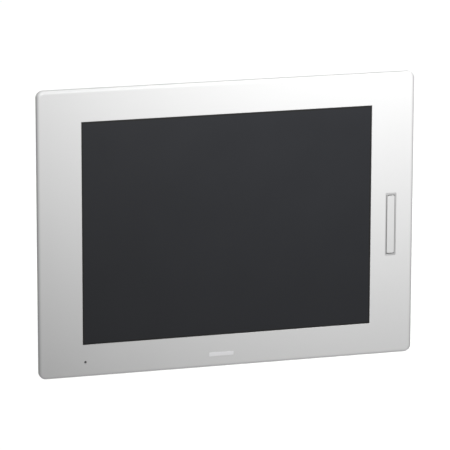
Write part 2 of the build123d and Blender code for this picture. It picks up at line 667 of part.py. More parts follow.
NODES["backup_battery"] = rod(BATTERY_X, BATTERY_Z, 10.0, BOARD_TOP + 1.6, BOARD_TOP + 4.8)


# ---------------------------------------------------------------- sockets on the main board
def network_socket(x):
    """A shielded modular socket whose mouth faces down."""
    z_mouth = -COVER_H / 2 + 0.4
    y0, y1 = BOARD_TOP, BOARD_TOP + 13.5
    jack = block(x - 8, x + 8, y0, y1, z_mouth, z_mouth + 21)
    jack -= block(x - 5.95, x + 5.95, y0 + 3.2, y0 + 10.2, z_mouth - 1, z_mouth + 12.5)
    return jack - block(x - 3.1, x + 3.1, y0 + 1.6, y0 + 4, z_mouth - 1, z_mouth + 9)


def power_socket():
    """A three-way header for a plug-in screw terminal, mouth down."""
    z_mouth = -COVER_H / 2 - 0.6
    y0, y1 = BOARD_TOP, BOARD_TOP + 11.0
    body = block(POWER_X - 10.2, POWER_X + 10.2, y0, y1, z_mouth, z_mouth + 18)
    return body - block(POWER_X - 8.9, POWER_X + 8.9, y0 + 1.5, y1 - 1.3, z_mouth - 1, z_mouth + 15)


def serial_shell():
    """The nine-way connector's flange and D-shaped shell, facing down."""
    z_in = COVER_INNER_Z
    y = BOARD_TOP + 6.3
    shell = block(SERIAL_X - 15.4, SERIAL_X + 15.4, y - 6.2, y + 6.2, z_in + 0.1, z_in + 0.9)
    shell += block(SERIAL_X - 9.4, SERIAL_X + 9.4, y - 4.9, y + 4.9, z_in - 5.6, z_in + 0.5)
    shell -= block(SERIAL_X - 8.9, SERIAL_X + 8.9, y - 4.4, y + 4.4, z_in - 7, z_in + 2)
    for side in (-1, 1):
        shell -= rod_z(SERIAL_X + side * 12.5, y, 1.55, z_in - 1, z_in + 2)
    return shell


def serial_insert():
    """The insulator with its nine pins."""
    z_in = COVER_INNER_Z
    y = BOARD_TOP + 6.3
    insert = block(SERIAL_X - 8.8, SERIAL_X + 8.8, y - 4.3, y + 4.3, z_in + 0.2, z_in + 10)
    for row, count in ((-1, 4), (1, 5)):
        for i in range(count):
            x = SERIAL_X + (i - (count - 1) / 2) * 2.77
            insert += rod_z(x, y + row * 1.42, 0.5, z_in - 5.0, z_in + 1)
    return insert


def jack_screw(side):
    z_out = -COVER_H / 2
    x, y = SERIAL_X + side * 12.5, BOARD_TOP + 6.3
    nut = Pos(x, y, z_out - 2.5) * extrude(RegularPolygon(2.75, 6), amount=2.5)
    screw = nut + rod_z(x, y, 1.5, z_out - 0.5, z_out + 8)
    return screw - rod_z(x, y, 1.2, z_out - 3, z_out + 3)


NODES["network_sockets"] = group([network_socket(x) for x in NETWORK_X])
NODES["power_socket"] = power_socket()
NODES["power_pins"] = group(
    [
        block(x - 0.5, x + 0.5, BOARD_TOP + 5, BOARD_TOP + 6, -COVER_H / 2 + 4.2, -COVER_H / 2 + 14.4)
        for x in [POWER_X + i * 5.08 for i in (-1, 0, 1)]
    ]
)
NODES["serial_shell"] = serial_shell()
NODES["serial_insert"] = serial_insert()
NODES["serial_jack_screws"] = group([jack_screw(side) for side in (-1, 1)])
NODES["card_slot"] = block(
    MAIN_BOARD_W / 2 - 29, MAIN_BOARD_W / 2 - 1, BOARD_TOP, BOARD_TOP + 3.2, CARD_Z - 14.5, CARD_Z + 14.5
) - block(MAIN_BOARD_W / 2 - 26, MAIN_BOARD_W / 2, BOARD_TOP + 0.6, BOARD_TOP + 2.8, CARD_Z - 12.2, CARD_Z + 12.2)


# ---------------------------------------------------------------- earth stud
def earth_stud():
    """An M4 stud with a square head inside the lower wall and a fixed hexagon outside it."""
    wall_in, wall_out = COVER_INNER_Z, -COVER_H / 2
    stud = rod_z(EARTH_X, EARTH_Y, EARTH_R + 0.05, wall_out - 1, wall_in + 1)
    stud += block(EARTH_X - 4, EARTH_X + 4, EARTH_Y - 4, EARTH_Y + 4, wall_in, wall_in + 3)
    stud += Pos(EARTH_X, EARTH_Y, wall_out - EARTH_HEX_T) * extrude(
        RegularPolygon(4.0, 6), amount=EARTH_HEX_T
    )
    free_end = wall_out - EARTH_HEX_T - EARTH_LENGTH
    return stud + rod_z(EARTH_X, EARTH_Y, EARTH_R, free_end, wall_out - 1)


NODES["earth_stud"] = earth_stud()


# ---------------------------------------------------------------- write the parts
os.makedirs("parts", exist_ok=True)
for name, part in NODES.items():
    export_step(part, f"parts/{name}.step")
print(len(NODES), "nodes")
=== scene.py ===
import json
from math import cos, pi, radians, sin

import bmesh
import bpy
from bpy.props import FloatProperty, FloatVectorProperty, IntProperty, PointerProperty
from bpy.types import Operator, Panel, PropertyGroup
from mathutils import Matrix, Vector

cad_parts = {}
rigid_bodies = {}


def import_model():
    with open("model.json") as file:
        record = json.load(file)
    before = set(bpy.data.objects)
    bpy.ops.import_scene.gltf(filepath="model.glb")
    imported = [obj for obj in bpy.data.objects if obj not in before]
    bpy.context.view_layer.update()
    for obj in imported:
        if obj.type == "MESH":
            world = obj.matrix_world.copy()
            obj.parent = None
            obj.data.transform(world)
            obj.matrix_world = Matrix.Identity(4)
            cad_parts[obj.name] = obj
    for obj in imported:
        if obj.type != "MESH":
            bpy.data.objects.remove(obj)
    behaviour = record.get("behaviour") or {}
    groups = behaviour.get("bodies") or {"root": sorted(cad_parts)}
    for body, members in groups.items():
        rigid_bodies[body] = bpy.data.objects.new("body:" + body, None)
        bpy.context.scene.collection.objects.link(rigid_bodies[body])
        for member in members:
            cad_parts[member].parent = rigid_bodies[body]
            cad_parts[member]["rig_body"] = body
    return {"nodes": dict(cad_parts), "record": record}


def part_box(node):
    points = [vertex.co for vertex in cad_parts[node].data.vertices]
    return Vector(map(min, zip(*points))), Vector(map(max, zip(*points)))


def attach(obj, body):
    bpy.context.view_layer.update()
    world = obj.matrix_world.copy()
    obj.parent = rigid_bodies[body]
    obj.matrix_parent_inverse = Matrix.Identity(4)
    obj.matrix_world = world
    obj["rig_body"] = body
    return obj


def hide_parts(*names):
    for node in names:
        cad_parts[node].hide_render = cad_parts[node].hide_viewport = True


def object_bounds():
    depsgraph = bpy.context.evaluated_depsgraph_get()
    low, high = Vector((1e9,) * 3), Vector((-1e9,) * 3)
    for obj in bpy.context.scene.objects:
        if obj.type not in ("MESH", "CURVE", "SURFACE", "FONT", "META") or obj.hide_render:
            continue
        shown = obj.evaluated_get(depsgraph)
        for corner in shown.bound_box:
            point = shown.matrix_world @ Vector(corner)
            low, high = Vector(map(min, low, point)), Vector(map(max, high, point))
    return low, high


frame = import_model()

bl_info = {
    "name": "Panel-mount operator terminal",
    "version": (1, 0, 0),
    "blender": (4, 5, 0),
    "location": "3D Viewport > Sidebar > Terminal",
    "description": "Looks of a 15-inch panel-mount touch terminal, built round its packed frame",
    "category": "Object",
}

# Everything is in metres. X runs right seen from the front, Y into the cabinet and Z up. The origin
# is the centre of the panel cut-out, on the plane where the bezel seats.
CAD_BOX = [list(corner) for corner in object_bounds()]
MM = 0.001
MAIN_BODY = "hmi"
FLOOR_REACH = 30.0
CAMERA_AIM = Vector((-3.53 * MM, CAD_BOX[0][1], 0.03 * MM))
SENSOR_WIDTH = 36.0  # in millimetres, as the lens is
KEY_PLACE = Vector((-0.20, -1.80, 0.84))
KEY_AIM = Vector((0.20, CAD_BOX[0][1], 0.43))
OVERHEAD_ANGLE = radians(25)
SHANK_TO_HEAD = 0.538
WALL_SHADE_REACH = 1.8 * MM  # depth behind the front over which the painted shade on the walls fades in
GAP_SHADE_REACH = 0.9 * MM  # how far past the service door's edges the painted shade in its gap goes
CLAMP_SCREW_RADIUS = 2 * MM
CLAMP_HEAD_HEIGHT = 2.8 * MM
CLAMP_COLLAR_HEIGHT = 0.9 * MM
CLAMP_CORE = 0.8  # the core's share of the clamp screw's radius, under the thread
CONTACT_LENGTH = 7.0 * MM
CONTACT_SETBACK, CONTACT_FOOT = 9.6 * MM, 4.0 * MM  # inside each network socket
SIDES = ("top_left", "top_right", "bottom_left", "bottom_right", "left", "right")
SLOT_OF = {part["node"]: part["material_slot"] for part in frame["record"]["subparts"]}


# ---------------------------------------------------------------- settings
class TerminalStage(PropertyGroup):
    """Camera, floor and lights."""

    azimuth: FloatProperty(
        name="Azimuth", description="Camera's turn to the left of straight ahead",
        default=radians(-16.868), subtype="ANGLE", unit="ROTATION")
    elevation: FloatProperty(
        name="Elevation", description="Camera's height above level",
        default=radians(13.224), subtype="ANGLE", unit="ROTATION")
    roll: FloatProperty(
        name="Roll", description="Camera's tilt about its own line of sight",
        default=radians(0.131), subtype="ANGLE", unit="ROTATION")
    distance: FloatProperty(
        name="Distance", description="From the camera to the bezel's front, along the line of sight",
        default=3.608, unit="LENGTH")
    lens: FloatProperty(name="Lens", description="Focal length in millimetres", default=284.68)
    floor_drop: FloatProperty(
        name="Floor drop", description="How far the floor lies below the terminal's centre",
        default=0.9, unit="LENGTH")
    floor_colour: FloatVectorProperty(
        name="Floor", description="Colour of the plain floor", default=(0.93, 0.93, 0.93),
        subtype="COLOR", size=3, min=0, max=1)
    sky_strength: FloatProperty(
        name="Sky", description="Strength of the even light all round", default=0.15)
    backdrop: FloatProperty(
        name="Backdrop", description="Brightness of the plain pale surround above the floor", default=0.96)
    key_power: FloatProperty(
        name="Key light", description="Power of the soft light at the upper left, in watts", default=7.55)
    key_size: FloatProperty(
        name="Key size", description="Side of the soft light", default=0.16, unit="LENGTH")
    key_spread: FloatProperty(
        name="Key spread", description="Full angle of the soft light's beam",
        default=radians(45), subtype="ANGLE", unit="ROTATION")
    overhead: FloatProperty(
        name="Overhead", description="Strength of the light that falls straight down", default=3.05)


class TerminalBezel(PropertyGroup):
    """Edges of the front frame and of what is let into it."""

    window_edge: FloatProperty(
        name="Window edge", description="Rounding along the front of the window",
        default=0.5 * MM, precision=5, unit="LENGTH")
    small_edge: FloatProperty(
        name="Small edges", description="Rounding along the trough, pocket and rim",
        default=0.22 * MM, precision=5, unit="LENGTH")
    paint: FloatVectorProperty(
        name="Paint", description="Satin paint of the bezel", default=(0.36, 0.36, 0.36),
        subtype="COLOR", size=3, min=0, max=1)
    # Painted shade: how bright the side walls' colour is kept, as a part of the front's, standing in for the
    # shade they fall in.
    wall_shade: FloatProperty(
        name="Wall paint",
        description="Brightness of the thin paint on the side walls, as a part of the front's",
        default=0.50, min=0, max=1)
    # Painted shade: how bright the colour inside the gap round the service door is kept, standing in for the
    # shade in the groove.
    gap_shade: FloatProperty(
        name="Gap paint", description="Brightness inside the gap round the door, as a part of the front's",
        default=0.42, min=0, max=1)


class TerminalScreen(PropertyGroup):
    """The anti-glare touch sheet."""

    face: FloatVectorProperty(
        name="Face", description="Colour over the display's active area", default=(0.0062, 0.0068, 0.0086),
        subtype="COLOR", size=3, min=0, max=1)
    border: FloatVectorProperty(
        name="Border", description="Printed border round the active area", default=(0.004, 0.004, 0.004),
        subtype="COLOR", size=3, min=0, max=1)
    border_width: FloatProperty(
        name="Border width", description="Width of the border inside the window",
        default=1.5 * MM, precision=5, unit="LENGTH")


class TerminalHardware(PropertyGroup):
    """Screws, threads and contacts."""

    head_height: FloatProperty(
        name="Pan head height", description="Height of a pan head above its seat",
        default=1.4 * MM, precision=5, unit="LENGTH")
    recess_width: FloatProperty(
        name="Recess width", description="Width of one arm of the cross recess",
        default=0.62 * MM, precision=5, unit="LENGTH")
    recess_depth: FloatProperty(
        name="Recess depth", description="Depth of the cross recess",
        default=0.9 * MM, precision=5, unit="LENGTH")
    thread_pitch: FloatProperty(
        name="Thread pitch", description="Pitch of the clamp screws' thread",
        default=0.7 * MM, precision=5, unit="LENGTH")
    thread_depth: FloatProperty(
        name="Thread depth", description="Depth of the clamp screws' thread",
        default=0.3 * MM, precision=5, unit="LENGTH")
    contact_count: IntProperty(
        name="Network contacts", description="Spring contacts in each network socket", default=8)


# ---------------------------------------------------------------- shader groups
def colour_of(values):
    return (*values[:3], 1.0)


class NodeBuilder:
    """Adds nodes to a tree and links them, one line each."""

    def __init__(self, tree):
        self.tree = tree

    def add(self, kind, wires=None, **settings):
        node = self.tree.nodes.new(kind)
        for key, value in settings.items():
            setattr(node, key, value)
        for socket, value in (wires or {}).items():
            target = node.inputs[socket]
            if isinstance(value, bpy.types.NodeSocket):
                self.tree.links.new(value, target)
            else:
                target.default_value = value
        return node

    def maths(self, operation, a, b=0.0, c=0.0, clamp=False):
        wires = {0: a, 1: b}
        if operation in ("MULTIPLY_ADD", "COMPARE", "SMOOTH_MIN"):
            wires[2] = c
        return self.add("ShaderNodeMath", wires, operation=operation, use_clamp=clamp).outputs[0]

    def mix(self, factor, a, b, blend="MIX"):
        node = self.add("ShaderNodeMix", data_type="RGBA", blend_type=blend)
        for index, value in ((0, factor), (6, a), (7, b)):
            if isinstance(value, bpy.types.NodeSocket):
                self.tree.links.new(value, node.inputs[index])
            else:
                node.inputs[index].default_value = value
        return node.outputs[2]

    def span(self, value, low, high, to_low=0.0, to_high=1.0):
        wires = {"Value": value, "From Min": low, "From Max": high, "To Min": to_low, "To Max": to_high}
        return self.add("ShaderNodeMapRange", wires, clamp=True).outputs[0]

    def noise(self, vector, scale, detail=3.0, rough=0.5):
        wires = {"Vector": vector, "Scale": scale, "Detail": detail, "Roughness": rough}
        return self.add("ShaderNodeTexNoise", wires).outputs["Fac"]


def shader_group(name, inputs, outputs):
    """A named shader node group with its sockets; returns the builder and both ends."""
    group = bpy.data.node_groups.new(name, "ShaderNodeTree")
    for socket, kind, default in inputs:
        made = group.interface.new_socket(socket, in_out="INPUT", socket_type=kind)
        made.default_value = default
    for socket, kind in outputs:
        group.interface.new_socket(socket, in_out="OUTPUT", socket_type=kind)
    build = NodeBuilder(group)
    return build, build.add("NodeGroupInput"), build.add("NodeGroupOutput")


FLOAT, COLOUR = "NodeSocketFloat", "NodeSocketColor"
FINISH_OUTPUTS = [("Color", COLOUR), ("Roughness", FLOAT), ("Height", FLOAT)]
GREY = (0.5, 0.5, 0.5, 1.0)


def finish_output(build, end, colour, roughness, height):
    for socket, value in (("Color", colour), ("Roughness", roughness), ("Height", height)):
        build.tree.links.new(value, end.inputs[socket])


def satin_grain_group():
    """Paint, moulded plastic, rubber and film: soft cloudiness over a fine grain."""
    build, start, end = shader_group(
        "satin grain",
        [("Color", COLOUR, GREY), ("Roughness", FLOAT, 0.5), ("Grain Size", FLOAT, 0.0004),
         ("Cloud Size", FLOAT, 0.05), ("Variation", FLOAT, 0.04)],
        FINISH_OUTPUTS)
    place = build.add("ShaderNodeTexCoord").outputs["Object"]
    fine = build.noise(place, build.maths("DIVIDE", 1.0, start.outputs["Grain Size"]), 2.0)
    cloud = build.noise(place, build.maths("DIVIDE", 1.0, start.outputs["Cloud Size"]), 3.0)
    shade = build.maths("MULTIPLY_ADD", fine, 0.35, build.maths("MULTIPLY", cloud, 0.65))
    spread = build.maths("MULTIPLY", build.maths("SUBTRACT", shade, 0.5), start.outputs["Variation"])
    level = build.maths("MULTIPLY_ADD", spread, 2.0, 1.0)
    grey = build.add("ShaderNodeCombineColor", {0: level, 1: level, 2: level}).outputs[0]
    colour = build.mix(1.0, start.outputs["Color"], grey, "MULTIPLY")
    rough = build.maths("ADD", start.outputs["Roughness"], build.maths("MULTIPLY", spread, 1.5), clamp=True)
    finish_output(build, end, colour, rough, fine)
    return build.tree


def brushed_metal_group():
    """Rolled, drawn or ground metal: fine lines along one direction."""
    build, start, end = shader_group(
        "brushed metal",
        [("Color", COLOUR, GREY), ("Roughness", FLOAT, 0.35), ("Line Width", FLOAT, 0.0001),
         ("Line Length", FLOAT, 0.02), ("Variation", FLOAT, 0.12)],
        FINISH_OUTPUTS)
    place = build.add("ShaderNodeTexCoord").outputs["Object"]
    along = build.maths("DIVIDE", 1.0, start.outputs["Line Length"])
    across = build.maths("DIVIDE", 1.0, start.outputs["Line Width"])
    stretch = build.add("ShaderNodeCombineXYZ", {0: along, 1: across, 2: across}).outputs[0]
    lines_at = build.add("ShaderNodeVectorMath", {0: place, 1: stretch}, operation="MULTIPLY").outputs[0]
    lines = build.noise(lines_at, 1.0, 3.0)
    spread = build.maths("MULTIPLY", build.maths("SUBTRACT", lines, 0.5), start.outputs["Variation"])
    level = build.maths("MULTIPLY_ADD", spread, 2.0, 1.0)
    grey = build.add("ShaderNodeCombineColor", {0: level, 1: level, 2: level}).outputs[0]
    colour = build.mix(1.0, start.outputs["Color"], grey, "MULTIPLY")
    rough = build.maths("ADD", start.outputs["Roughness"], spread, clamp=True)
    finish_output(build, end, colour, rough, lines)
    return build.tree


def zinc_spangle_group():
    """Zinc plating: flat crystal patches that differ a little in shade and gloss."""
    build, start, end = shader_group(
        "zinc spangle",
        [("Color", COLOUR, GREY), ("Roughness", FLOAT, 0.4), ("Crystal Size", FLOAT, 0.006),
         ("Variation", FLOAT, 0.16)],
        FINISH_OUTPUTS)
    place = build.add("ShaderNodeTexCoord").outputs["Object"]
    size = build.maths("DIVIDE", 1.0, start.outputs["Crystal Size"])
    cells = build.add("ShaderNodeTexVoronoi", {"Vector": place, "Scale": size, "Randomness": 1.0})
    cell = build.add("ShaderNodeSeparateColor", {0: cells.outputs["Color"]}).outputs[0]
    fine = build.noise(place, build.maths("MULTIPLY", size, 7.0), 4.0)
    shade = build.maths("MULTIPLY_ADD", cell, 0.6, build.maths("MULTIPLY", fine, 0.4))
    spread = build.maths("MULTIPLY", build.maths("SUBTRACT", shade, 0.5), start.outputs["Variation"])
    level = build.maths("MULTIPLY_ADD", spread, 2.0, 1.0)
    grey = build.add("ShaderNodeCombineColor", {0: level, 1: level, 2: level}).outputs[0]
    colour = build.mix(1.0, start.outputs["Color"], grey, "MULTIPLY")
    rough = build.maths("ADD", start.outputs["Roughness"], spread, clamp=True)
    finish_output(build, end, colour, rough, fine)
    return build.tree


def settled_dust_group():
    """A trace of pale dust on faces that look up."""
    build, start, end = shader_group(
        "settled dust",
        [("Color", COLOUR, GREY), ("Roughness", FLOAT, 0.5), ("Amount", FLOAT, 0.08)],
        [("Color", COLOUR), ("Roughness", FLOAT)])
    place = build.add("ShaderNodeTexCoord").outputs["Object"]
    facing = build.add("ShaderNodeNewGeometry").outputs["Normal"]
    upward = build.add("ShaderNodeSeparateXYZ", {0: facing}).outputs["Z"]
    lying = build.span(upward, 0.5, 1.0)
    patchy = build.span(build.noise(place, 90.0, 5.0, 0.6), 0.35, 0.7)
    amount = build.maths("MULTIPLY", build.maths("MULTIPLY", lying, patchy), start.outputs["Amount"])
    colour = build.mix(amount, start.outputs["Color"], (0.62, 0.60, 0.57, 1.0))
    rough = build.maths("ADD", start.outputs["Roughness"], build.maths("MULTIPLY", amount, 0.6), clamp=True)
    build.tree.links.new(colour, end.inputs["Color"])
    build.tree.links.new(rough, end.inputs["Roughness"])
    return build.tree


GROUPS = {}


# ---------------------------------------------------------------- materials
def surface(name, group, values, bump=0.1, bump_reach=0.00004, dust=0.0, **shader):
    """A material whose colour, roughness and bump come from a finish group."""
    material = bpy.data.materials.new(name)
    material.use_nodes = True
    tree = material.node_tree
    tree.nodes.clear()
    build = NodeBuilder(tree)
    output = build.add("ShaderNodeOutputMaterial")
    gloss = build.add("ShaderNodeBsdfPrincipled")
    for socket, value in shader.items():
        gloss.inputs[socket.replace("_", " ")].default_value = value
    finish = build.add("ShaderNodeGroup", node_tree=GROUPS[group])
    for socket, value in values.items():
        finish.inputs[socket].default_value = value
    colour, rough = finish.outputs["Color"], finish.outputs["Roughness"]
    if dust:
        wires = {"Color": colour, "Roughness": rough, "Amount": dust}
        coat = build.add("ShaderNodeGroup", node_tree=GROUPS["settled dust"])
        for socket, value in wires.items():
            if isinstance(value, bpy.types.NodeSocket):
                tree.links.new(value, coat.inputs[socket])
            else:
                coat.inputs[socket].default_value = value
        colour, rough = coat.outputs["Color"], coat.outputs["Roughness"]
    tree.links.new(colour, gloss.inputs["Base Color"])
    tree.links.new(rough, gloss.inputs["Roughness"])
    relief = build.add("ShaderNodeBump", {"Strength": bump, "Distance": bump_reach,
                                          "Height": finish.outputs["Height"]})
    tree.links.new(relief.outputs[0], gloss.inputs["Normal"])
    tree.links.new(gloss.outputs[0], output.inputs[0])
    return material


def grained(name, colour, rough, grain, cloud, variation, **more):
    values = {"Color": colour_of(colour), "Roughness": rough, "Grain Size": grain * MM,
              "Cloud Size": cloud * MM, "Variation": variation}
    return surface(name, "satin grain", values, **more)


def brushed(name, colour, rough, width, length, variation, **more):
    values = {"Color": colour_of(colour), "Roughness": rough, "Line Width": width * MM,
              "Line Length": length * MM, "Variation": variation}
    return surface(name, "brushed metal", values, Metallic=1.0, **more)


def plated(name, colour, rough, crystal, variation, **more):
    values = {"Color": colour_of(colour), "Roughness": rough, "Crystal Size": crystal * MM,
              "Variation": variation}
    return surface(name, "zinc spangle", values, Metallic=1.0, **more)


def bezel_material(bezel):
    """Satin paint with painted shade: darker on the side walls and on every face behind the front (faces
    looking up much less), and inside the gap round the door.
    """
    material = grained("bezel_paint", bezel.paint, 0.42, 0.35, 70.0, 0.02, bump=0.10, dust=0.05, IOR=1.45)
    tree = material.node_tree
    build = NodeBuilder(tree)
    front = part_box("front_bezel")[0][1]
    low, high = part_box("usb_door")
    place = build.add("ShaderNodeTexCoord").outputs["Object"]
    axes = build.add("ShaderNodeSeparateXYZ", {0: place})
    facing = build.add("ShaderNodeNewGeometry").outputs["Normal"]
    upward = build.add("ShaderNodeSeparateXYZ", {0: facing}).outputs["Z"]
    # Painted shade: the side walls and every face more than a little behind the front are darkened, faces
    # looking up much less, standing in for the shade they fall in.
    deep = build.span(axes.outputs["Y"], front + 0.03 * MM, front + WALL_SHADE_REACH)
    wall = build.maths("MULTIPLY", deep, build.span(upward, 0.05, 0.5, 1.0, 0.1))
    # Painted shade inside the gap round the service door, standing in for the shade in the groove.
    gap = build.span(axes.outputs["Y"], front + 0.15 * MM, front + 0.45 * MM)
    for axis, index in (("X", 0), ("Z", 2)):
        middle, half = (low[index] + high[index]) / 2, (high[index] - low[index]) / 2
        reach = build.maths("ABSOLUTE", build.maths("SUBTRACT", axes.outputs[axis], middle))
        beside = build.span(reach, half + GAP_SHADE_REACH, half + GAP_SHADE_REACH + 0.2 * MM, 1.0, 0.0)
        gap = build.maths("MULTIPLY", gap, beside)
    shade = build.maths("MINIMUM", build.span(wall, 0.0, 1.0, 1.0, bezel.wall_shade),
                        build.span(gap, 0.0, 1.0, 1.0, bezel.gap_shade))
    gloss = next(node for node in tree.nodes if node.type == "BSDF_PRINCIPLED")
    paint = gloss.inputs["Base Color"].links[0].from_socket
    grey = build.add("ShaderNodeCombineColor", {0: shade, 1: shade, 2: shade}).outputs[0]
    tree.links.new(build.mix(1.0, paint, grey, "MULTIPLY"), gloss.inputs["Base Color"])
    return material


def touch_sheet_material(screen):
    """Anti-glare film: a cool near-black face inside a neutral printed border."""
    material = grained("touch_film", screen.face, 0.42, 0.18, 60.0, 0.10, bump=0.12, IOR=1.30)
    tree = material.node_tree
    build = NodeBuilder(tree)
    low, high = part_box("touch_film")
    place = build.add("ShaderNodeTexCoord").outputs["Object"]
    axes = build.add("ShaderNodeSeparateXYZ", {0: place})
    edges = []
    for axis, index in (("X", 0), ("Z", 2)):
        half = (high[index] - low[index]) / 2 - screen.border_width
        reach = build.maths("ABSOLUTE", axes.outputs[axis])
        edges.append(build.span(reach, half - 0.2 * MM, half))
    mask = build.maths("MAXIMUM", edges[0], edges[1])
    finish = next(node for node in tree.nodes if node.type == "GROUP")
    gloss = next(node for node in tree.nodes if node.type == "BSDF_PRINCIPLED")
    colour = build.mix(mask, finish.outputs["Color"], colour_of(screen.border))
    tree.links.new(colour, gloss.inputs["Base Color"])
    return material


def board_material():
    """Green solder resist with paler copper tracks showing through."""
    material = grained("circuit_board", (0.012, 0.11, 0.045), 0.38, 0.3, 25.0, 0.14,
                       Coat_Weight=0.3, Coat_Roughness=0.2)
    tree = material.node_tree
    build = NodeBuilder(tree)
    place = build.add("ShaderNodeTexCoord").outputs["Object"]
    wires = {"Vector": place, "Scale": 260.0}
    tracks = build.add("ShaderNodeTexVoronoi", wires, distance="MANHATTAN", feature="F1")
    line = build.span(tracks.outputs["Distance"], 0.62, 0.66)
    finish = next(node for node in tree.nodes if node.type == "GROUP")
    gloss = next(node for node in tree.nodes if node.type == "BSDF_PRINCIPLED")
    colour = build.mix(line, finish.outputs["Color"], (0.05, 0.24, 0.09, 1.0))
    tree.links.new(colour, gloss.inputs["Base Color"])
    return material


def build_materials(scene):
    bezel, screen = scene.terminal_bezel, scene.terminal_screen
    glass = {"Transmission_Weight": 1.0, "IOR": 1.5}
    return {
        "bezel_paint": bezel_material(bezel),
        "badge_metal": brushed("badge_metal", (0.62, 0.62, 0.63), 0.42, 0.08, 12.0, 0.10),
        "seal_rubber": grained("seal_rubber", (0.018, 0.018, 0.018), 0.72, 0.25, 12.0, 0.25, bump=0.3),
        "touch_film": touch_sheet_material(screen),
        "touch_glass": grained("touch_glass", (0.86, 0.92, 0.90), 0.03, 1.0, 80.0, 0.01, bump=0.0, **glass),
        "lamp_lens": grained("lamp_lens", (0.035, 0.035, 0.036), 0.22, 0.2, 4.0, 0.12,
                             bump=0.05, Coat_Weight=0.4),
        "led_white": grained("led_white", (0.85, 0.80, 0.52), 0.3, 0.2, 3.0, 0.06),
        "circuit_board": board_material(),
        "door_plastic": grained("door_plastic", [v * 0.93 for v in bezel.paint], 0.46, 0.3, 30.0, 0.03,
                                bump=0.16, dust=0.05, IOR=1.45),
        "pin_steel": brushed("pin_steel", (0.58, 0.58, 0.58), 0.25, 0.05, 6.0, 0.14),
        "nickel_shell": brushed("nickel_shell", (0.66, 0.65, 0.61), 0.24, 0.12, 9.0, 0.12),
        "black_plastic": grained("black_plastic", (0.014, 0.014, 0.014), 0.5, 0.25, 10.0, 0.25, bump=0.25),
        "bright_steel": brushed("bright_steel", (0.60, 0.60, 0.60), 0.30, 0.15, 25.0, 0.14),
        "lcd_glass": grained("lcd_glass", (0.008, 0.008, 0.012), 0.12, 0.3, 60.0, 0.08, bump=0.02),
        "clear_acrylic": grained("clear_acrylic", (0.88, 0.91, 0.91), 0.06, 0.5, 40.0, 0.02,
                                 bump=0.0, **glass),
        "white_sheet": grained("white_sheet", (0.82, 0.82, 0.82), 0.6, 0.3, 40.0, 0.03),
        "aluminium_bar": brushed("aluminium_bar", (0.72, 0.72, 0.73), 0.36, 0.15, 30.0, 0.12),
        "white_plastic": grained("white_plastic", (0.76, 0.76, 0.73), 0.5, 0.3, 25.0, 0.04, bump=0.15),
        "zinc_steel": plated("zinc_steel", (0.58, 0.59, 0.60), 0.38, 7.0, 0.16, bump=0.06, dust=0.12),
        "screw_steel": brushed("screw_steel", (0.60, 0.60, 0.57), 0.30, 0.06, 3.0, 0.16),
        "ribbon_film": grained("ribbon_film", (0.36, 0.16, 0.035), 0.35, 0.3, 12.0, 0.12),
        "cover_aluminium": grained("cover_aluminium", (0.62, 0.63, 0.64), 0.44, 0.22, 60.0, 0.08,
                                   bump=0.35, dust=0.12, Metallic=1.0),
        "label_film": grained("label_film", (0.56, 0.57, 0.58), 0.34, 0.2, 20.0, 0.05,
                              bump=0.06, Metallic=0.6),
        "spacer_brass": brushed("spacer_brass", (0.70, 0.52, 0.22), 0.28, 0.08, 4.0, 0.14),
        "heat_sink_aluminium": grained("heat_sink_aluminium", (0.012, 0.012, 0.013), 0.42, 0.2, 15.0, 0.18,
                                       Metallic=0.7),
        "green_plastic": grained("green_plastic", (0.015, 0.20, 0.06), 0.45, 0.25, 9.0, 0.12, bump=0.2),
        "lever_zinc": grained("lever_zinc", (0.50, 0.50, 0.51), 0.42, 0.3, 8.0, 0.14, bump=0.4, Metallic=1.0),
    }


MATERIALS = {}


# ---------------------------------------------------------------- meshes made from the frame
def merged_copy(node):
    """A node's mesh as one welded bmesh, with flat regions joined into single faces."""
    shape = bmesh.new()
    shape.from_mesh(frame["nodes"][node].data)
    bmesh.ops.remove_doubles(shape, verts=shape.verts, dist=0.001 * MM)
    bmesh.ops.dissolve_limit(
        shape, angle_limit=radians(0.6), verts=shape.verts, edges=shape.edges, delimit=set())
    return shape


def corner_edges(shape, chosen, sharpest=radians(40)):
    """Outward edges that the chosen test keeps, where two faces meet at a real corner."""
    kept = []
    for edge in shape.edges:
        if len(edge.link_faces) != 2 or edge.calc_face_angle(0.0) < sharpest:
            continue
        if edge.is_convex and chosen((edge.verts[0].co + edge.verts[1].co) / 2):
            kept.append(edge)
    return kept


def round_edges(shape, width, chosen=lambda middle: True, segments=2):
    edges = corner_edges(shape, chosen)
    if edges:
        bmesh.ops.bevel(
            shape, geom=edges, offset=width, segments=segments, profile=0.5,
            affect="EDGES", clamp_overlap=True)


def settle(piece, body, slot, nodes, smooth=radians(35)):
    """Shades a piece, gives it its finish and hands it to its body in place of its nodes."""
    for polygon in piece.data.polygons:
        polygon.use_smooth = True
    piece.data.set_sharp_from_angle(angle=smooth)
    weighted = piece.modifiers.new("even normals", "WEIGHTED_NORMAL")
    weighted.keep_sharp = True
    bake_modifiers(piece)
    piece.data.materials.clear()
    piece.data.materials.append(MATERIALS[slot])
    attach(piece, body)
    if nodes:
        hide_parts(*nodes)
    return piece


def bake_modifiers(piece):
    """Turns the modifiers' result into the piece's own plain mesh and removes them."""
    view = bpy.context.evaluated_depsgraph_get()
    view.update()
    result = bpy.data.meshes.new_from_object(piece.evaluated_get(view))
    piece.modifiers.clear()
    piece.data = result


def linked(name, mesh):
    piece = bpy.data.objects.new(name, mesh)
    bpy.context.scene.collection.objects.link(piece)
    return piece


def piece_from(shape, name):
    """A bmesh as an object at the origin."""
    bmesh.ops.recalc_face_normals(shape, faces=shape.faces)
    mesh = bpy.data.meshes.new(name)
    shape.to_mesh(mesh)
    shape.free()
    return linked(name, mesh)


